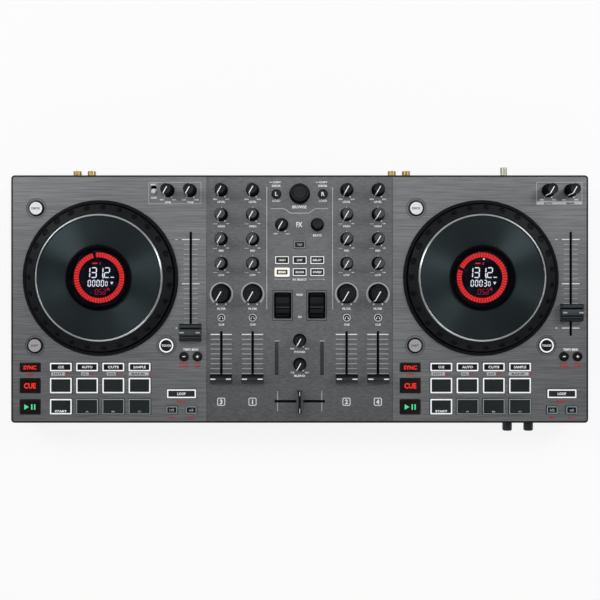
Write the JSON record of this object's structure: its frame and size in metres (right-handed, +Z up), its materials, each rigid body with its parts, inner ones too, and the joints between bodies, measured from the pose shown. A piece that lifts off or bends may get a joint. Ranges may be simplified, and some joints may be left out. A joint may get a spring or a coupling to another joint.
{
  "type": "dj controller",
  "caption": "Flat console with two large jog wheels beside a central mixer of knobs, faders, paddles and lit keys; sockets behind, headphone knobs in front.",
  "frame": {"origin": "on the table, under the middle of the case", "axes": "+X to the right along the case's width, +Y away from the player towards the rear sockets, +Z up"},
  "size_m": [0.577, 0.2692, 0.06],
  "materials": {
    "case_plastic": "fine moulded grain, black",
    "deck_plate": "brushed along X, dark grey anodised",
    "mixer_plate": "finely blasted, darker grey anodised",
    "foot_rubber": "matt black rubber",
    "screw_steel": "blackened steel",
    "board_laminate": "green solder mask",
    "gilt_sockets": "gold plated barrels on black bodies",
    "bearing_steel": "ground steel",
    "window_acrylic": "smoked gloss acrylic",
    "control_metal": "dark moulded nylon",
    "jog_plastic": "satin black with a spun metal top",
    "knob_plastic": "satin black with a white pointer",
    "fader_plastic": "satin black with white marks",
    "paddle_plastic": "satin black, ribbed",
    "switch_silver": "satin chrome",
    "pad_rubber": "smoked silicone with a lit edge",
    "button_plastic": "satin, with lit legends"
  },
  "bodies": {
    "console": {"bottom_case": "case_plastic", "top_case": "case_plastic", "deck_plates": "deck_plate", "mixer_plate": "mixer_plate", "rubber_feet": "foot_rubber", "case_screws": "screw_steel", "circuit_boards": "board_laminate", "sockets": "gilt_sockets", "jog_bezels": "case_plastic", "jog_bearings": "bearing_steel", "display_windows": "window_acrylic", "control_bodies": "control_metal"},
    "left_jog_wheel": {"left_jog_wheel": "jog_plastic"},
    "right_jog_wheel": {"right_jog_wheel": "jog_plastic"},
    "channel_1_level_knob": {"channel_1_level_knob": "knob_plastic"},
    "channel_1_treble_knob": {"channel_1_treble_knob": "knob_plastic"},
    "channel_1_mid_knob": {"channel_1_mid_knob": "knob_plastic"},
    "channel_1_bass_knob": {"channel_1_bass_knob": "knob_plastic"},
    "channel_2_level_knob": {"channel_2_level_knob": "knob_plastic"},
    "channel_2_treble_knob": {"channel_2_treble_knob": "knob_plastic"},
    "channel_2_mid_knob": {"channel_2_mid_knob": "knob_plastic"},
    "channel_2_bass_knob": {"channel_2_bass_knob": "knob_plastic"},
    "channel_3_level_knob": {"channel_3_level_knob": "knob_plastic"},
    "channel_3_treble_knob": {"channel_3_treble_knob": "knob_plastic"},
    "channel_3_mid_knob": {"channel_3_mid_knob": "knob_plastic"},
    "channel_3_bass_knob": {"channel_3_bass_knob": "knob_plastic"},
    "channel_4_level_knob": {"channel_4_level_knob": "knob_plastic"},
    "channel_4_treble_knob": {"channel_4_treble_knob": "knob_plastic"},
    "channel_4_mid_knob": {"channel_4_mid_knob": "knob_plastic"},
    "channel_4_bass_knob": {"channel_4_bass_knob": "knob_plastic"},
    "channel_1_filter_knob": {"channel_1_filter_knob": "knob_plastic"},
    "channel_2_filter_knob": {"channel_2_filter_knob": "knob_plastic"},
    "channel_3_filter_knob": {"channel_3_filter_knob": "knob_plastic"},
    "channel_4_filter_knob": {"channel_4_filter_knob": "knob_plastic"},
    "channel_1_fader": {"channel_1_fader": "fader_plastic"},
    "channel_2_fader": {"channel_2_fader": "fader_plastic"},
    "channel_3_fader": {"channel_3_fader": "fader_plastic"},
    "channel_4_fader": {"channel_4_fader": "fader_plastic"},
    "crossfader": {"crossfader": "fader_plastic"},
    "mic_switch": {"mic_switch": "switch_silver"},
    "mic_level_knob": {"mic_level_knob": "knob_plastic"},
    "mic_tone_knob": {"mic_tone_knob": "knob_plastic"},
    "booth_level_knob": {"booth_level_knob": "knob_plastic"},
    "main_level_knob": {"main_level_knob": "knob_plastic"},
    "effect_depth_knob": {"effect_depth_knob": "knob_plastic"},
    "cue_gain_knob": {"cue_gain_knob": "knob_plastic"},
    "cue_mix_knob": {"cue_mix_knob": "knob_plastic"},
    "beats_knob": {"beats_knob": "knob_plastic"},
    "browse_knob": {"browse_knob": "knob_plastic"},
    "front_left_knob": {"front_left_knob": "knob_plastic"},
    "front_right_knob": {"front_right_knob": "knob_plastic"},
    "left_tempo_fader": {"left_tempo_fader": "fader_plastic"},
    "right_tempo_fader": {"right_tempo_fader": "fader_plastic"},
    "left_paddle": {"left_paddle": "paddle_plastic"},
    "right_paddle": {"right_paddle": "paddle_plastic"},
    "left_pads": {"left_pads": "pad_rubber"},
    "right_pads": {"right_pads": "pad_rubber"},
    "left_buttons": {"left_buttons": "button_plastic"},
    "right_buttons": {"right_buttons": "button_plastic"},
    "mixer_buttons": {"mixer_buttons": "button_plastic"}
  },
  "joints": [
    {"name": "left_jog_wheel_turn", "type": "hinge", "parent": "console", "child": "left_jog_wheel", "pos_m": [-0.199, 0.0211, 0.042], "axis": [0, 0, 1], "continuous": true},
    {"name": "right_jog_wheel_turn", "type": "hinge", "parent": "console", "child": "right_jog_wheel", "pos_m": [0.181, 0.0211, 0.042], "axis": [0, 0, 1], "continuous": true},
    {"name": "channel_1_level_knob_turn", "type": "hinge", "parent": "console", "child": "channel_1_level_knob", "pos_m": [-0.047, 0.10885, 0.042], "axis": [0, 0, 1], "range_deg": [-300, 0]},
    {"name": "channel_1_treble_knob_turn", "type": "hinge", "parent": "console", "child": "channel_1_treble_knob", "pos_m": [-0.047, 0.08445, 0.042], "axis": [0, 0, 1], "range_deg": [-300, 0]},
    {"name": "channel_1_mid_knob_turn", "type": "hinge", "parent": "console", "child": "channel_1_mid_knob", "pos_m": [-0.047, 0.06005, 0.042], "axis": [0, 0, 1], "range_deg": [-300, 0]},
    {"name": "channel_1_bass_knob_turn", "type": "hinge", "parent": "console", "child": "channel_1_bass_knob", "pos_m": [-0.047, 0.03565, 0.042], "axis": [0, 0, 1], "range_deg": [-300, 0]},
    {"name": "channel_2_level_knob_turn", "type": "hinge", "parent": "console", "child": "channel_2_level_knob", "pos_m": [0.047, 0.10885, 0.042], "axis": [0, 0, 1], "range_deg": [-300, 0]},
    {"name": "channel_2_treble_knob_turn", "type": "hinge", "parent": "console", "child": "channel_2_treble_knob", "pos_m": [0.047, 0.08445, 0.042], "axis": [0, 0, 1], "range_deg": [-300, 0]},
    {"name": "channel_2_mid_knob_turn", "type": "hinge", "parent": "console", "child": "channel_2_mid_knob", "pos_m": [0.047, 0.06005, 0.042], "axis": [0, 0, 1], "range_deg": [-300, 0]},
    {"name": "channel_2_bass_knob_turn", "type": "hinge", "parent": "console", "child": "channel_2_bass_knob", "pos_m": [0.047, 0.03565, 0.042], "axis": [0, 0, 1], "range_deg": [-300, 0]},
    {"name": "channel_3_level_knob_turn", "type": "hinge", "parent": "console", "child": "channel_3_level_knob", "pos_m": [-0.0783, 0.10885, 0.042], "axis": [0, 0, 1], "range_deg": [-300, 0]},
    {"name": "channel_3_treble_knob_turn", "type": "hinge", "parent": "console", "child": "channel_3_treble_knob", "pos_m": [-0.0783, 0.08445, 0.042], "axis": [0, 0, 1], "range_deg": [-300, 0]},
    {"name": "channel_3_mid_knob_turn", "type": "hinge", "parent": "console", "child": "channel_3_mid_knob", "pos_m": [-0.0783, 0.06005, 0.042], "axis": [0, 0, 1], "range_deg": [-300, 0]},
    {"name": "channel_3_bass_knob_turn", "type": "hinge", "parent": "console", "child": "channel_3_bass_knob", "pos_m": [-0.0783, 0.03565, 0.042], "axis": [0, 0, 1], "range_deg": [-300, 0]},
    {"name": "channel_4_level_knob_turn", "type": "hinge", "parent": "console", "child": "channel_4_level_knob", "pos_m": [0.0783, 0.10885, 0.042], "axis": [0, 0, 1], "range_deg": [-300, 0]},
    {"name": "channel_4_treble_knob_turn", "type": "hinge", "parent": "console", "child": "channel_4_treble_knob", "pos_m": [0.0783, 0.08445, 0.042], "axis": [0, 0, 1], "range_deg": [-300, 0]},
    {"name": "channel_4_mid_knob_turn", "type": "hinge", "parent": "console", "child": "channel_4_mid_knob", "pos_m": [0.0783, 0.06005, 0.042], "axis": [0, 0, 1], "range_deg": [-300, 0]},
    {"name": "channel_4_bass_knob_turn", "type": "hinge", "parent": "console", "child": "channel_4_bass_knob", "pos_m": [0.0783, 0.03565, 0.042], "axis": [0, 0, 1], "range_deg": [-300, 0]},
    {"name": "channel_1_filter_knob_turn", "type": "hinge", "parent": "console", "child": "channel_1_filter_knob", "pos_m": [-0.047, 0.00535, 0.042], "axis": [0, 0, 1], "range_deg": [-300, 0]},
    {"name": "channel_2_filter_knob_turn", "type": "hinge", "parent": "console", "child": "channel_2_filter_knob", "pos_m": [0.047, 0.00535, 0.042], "axis": [0, 0, 1], "range_deg": [-300, 0]},
    {"name": "channel_3_filter_knob_turn", "type": "hinge", "parent": "console", "child": "channel_3_filter_knob", "pos_m": [-0.0783, 0.00535, 0.042], "axis": [0, 0, 1], "range_deg": [-300, 0]},
    {"name": "channel_4_filter_knob_turn", "type": "hinge", "parent": "console", "child": "channel_4_filter_knob", "pos_m": [0.0783, 0.00535, 0.042], "axis": [0, 0, 1], "range_deg": [-300, 0]},
    {"name": "channel_1_fader_slide", "type": "slide", "parent": "console", "child": "channel_1_fader", "axis": [0, 1, 0], "range_m": [0, 0.044]},
    {"name": "channel_2_fader_slide", "type": "slide", "parent": "console", "child": "channel_2_fader", "axis": [0, 1, 0], "range_m": [0, 0.044]},
    {"name": "channel_3_fader_slide", "type": "slide", "parent": "console", "child": "channel_3_fader", "axis": [0, 1, 0], "range_m": [0, 0.044]},
    {"name": "channel_4_fader_slide", "type": "slide", "parent": "console", "child": "channel_4_fader", "axis": [0, 1, 0], "range_m": [0, 0.044]},
    {"name": "crossfader_slide", "type": "slide", "parent": "console", "child": "crossfader", "axis": [1, 0, 0], "range_m": [-0.022, 0.022]},
    {"name": "mic_switch_slide", "type": "slide", "parent": "console", "child": "mic_switch", "axis": [0, 1, 0], "range_m": [0, 0.0032]},
    {"name": "mic_level_knob_turn", "type": "hinge", "parent": "console", "child": "mic_level_knob", "pos_m": [-0.13155, 0.1084, 0.042], "axis": [0, 0, 1], "range_deg": [-300, 0]},
    {"name": "mic_tone_knob_turn", "type": "hinge", "parent": "console", "child": "mic_tone_knob", "pos_m": [-0.10935, 0.1084, 0.042], "axis": [0, 0, 1], "range_deg": [-300, 0]},
    {"name": "booth_level_knob_turn", "type": "hinge", "parent": "console", "child": "booth_level_knob", "pos_m": [0.24845, 0.1084, 0.042], "axis": [0, 0, 1], "range_deg": [-300, 0]},
    {"name": "main_level_knob_turn", "type": "hinge", "parent": "console", "child": "main_level_knob", "pos_m": [0.27065, 0.1084, 0.042], "axis": [0, 0, 1], "range_deg": [-300, 0]},
    {"name": "effect_depth_knob_turn", "type": "hinge", "parent": "console", "child": "effect_depth_knob", "pos_m": [-0.018, 0.07435, 0.042], "axis": [0, 0, 1], "range_deg": [-300, 0]},
    {"name": "cue_gain_knob_turn", "type": "hinge", "parent": "console", "child": "cue_gain_knob", "pos_m": [0, -0.04115, 0.042], "axis": [0, 0, 1], "range_deg": [-300, 0]},
    {"name": "cue_mix_knob_turn", "type": "hinge", "parent": "console", "child": "cue_mix_knob", "pos_m": [0, -0.06505, 0.042], "axis": [0, 0, 1], "range_deg": [-300, 0]},
    {"name": "beats_knob_turn", "type": "hinge", "parent": "console", "child": "beats_knob", "pos_m": [0.0176, 0.07435, 0.042], "axis": [0, 0, 1], "continuous": true},
    {"name": "browse_knob_turn", "type": "hinge", "parent": "console", "child": "browse_knob", "pos_m": [0, 0.1051, 0.042], "axis": [0, 0, 1], "continuous": true},
    {"name": "front_left_knob_turn", "type": "hinge", "parent": "console", "child": "front_left_knob", "pos_m": [0.2126, -0.12375, 0.0196], "axis": [0, -1, 0], "range_deg": [-150, 150]},
    {"name": "front_right_knob_turn", "type": "hinge", "parent": "console", "child": "front_right_knob", "pos_m": [0.2342, -0.12375, 0.0196], "axis": [0, -1, 0], "range_deg": [-150, 150]},
    {"name": "left_tempo_fader_slide", "type": "slide", "parent": "console", "child": "left_tempo_fader", "axis": [0, 1, 0], "range_m": [0, 0.0974]},
    {"name": "right_tempo_fader_slide", "type": "slide", "parent": "console", "child": "right_tempo_fader", "axis": [0, 1, 0], "range_m": [-0.0198, 0.0776]},
    {"name": "left_paddle_turn", "type": "hinge", "parent": "console", "child": "left_paddle", "pos_m": [-0.017, -0.00645, 0.036], "axis": [1, 0, 0], "range_deg": [-12, 12]},
    {"name": "right_paddle_turn", "type": "hinge", "parent": "console", "child": "right_paddle", "pos_m": [0.017, -0.00645, 0.036], "axis": [1, 0, 0], "range_deg": [-12, 12]},
    {"name": "left_pads_slide", "type": "slide", "parent": "console", "child": "left_pads", "axis": [0, 0, -1], "range_m": [0, 0.001], "stiffness_N_per_m": 600, "springref_m": -0.002},
    {"name": "right_pads_slide", "type": "slide", "parent": "console", "child": "right_pads", "axis": [0, 0, -1], "range_m": [0, 0.001], "stiffness_N_per_m": 600, "springref_m": -0.002},
    {"name": "left_buttons_slide", "type": "slide", "parent": "console", "child": "left_buttons", "axis": [0, 0, -1], "range_m": [0, 0.001], "stiffness_N_per_m": 600, "springref_m": -0.002},
    {"name": "right_buttons_slide", "type": "slide", "parent": "console", "child": "right_buttons", "axis": [0, 0, -1], "range_m": [0, 0.001], "stiffness_N_per_m": 600, "springref_m": -0.002},
    {"name": "mixer_buttons_slide", "type": "slide", "parent": "console", "child": "mixer_buttons", "axis": [0, 0, -1], "range_m": [0, 0.001], "stiffness_N_per_m": 600, "springref_m": -0.002}
  ]
}
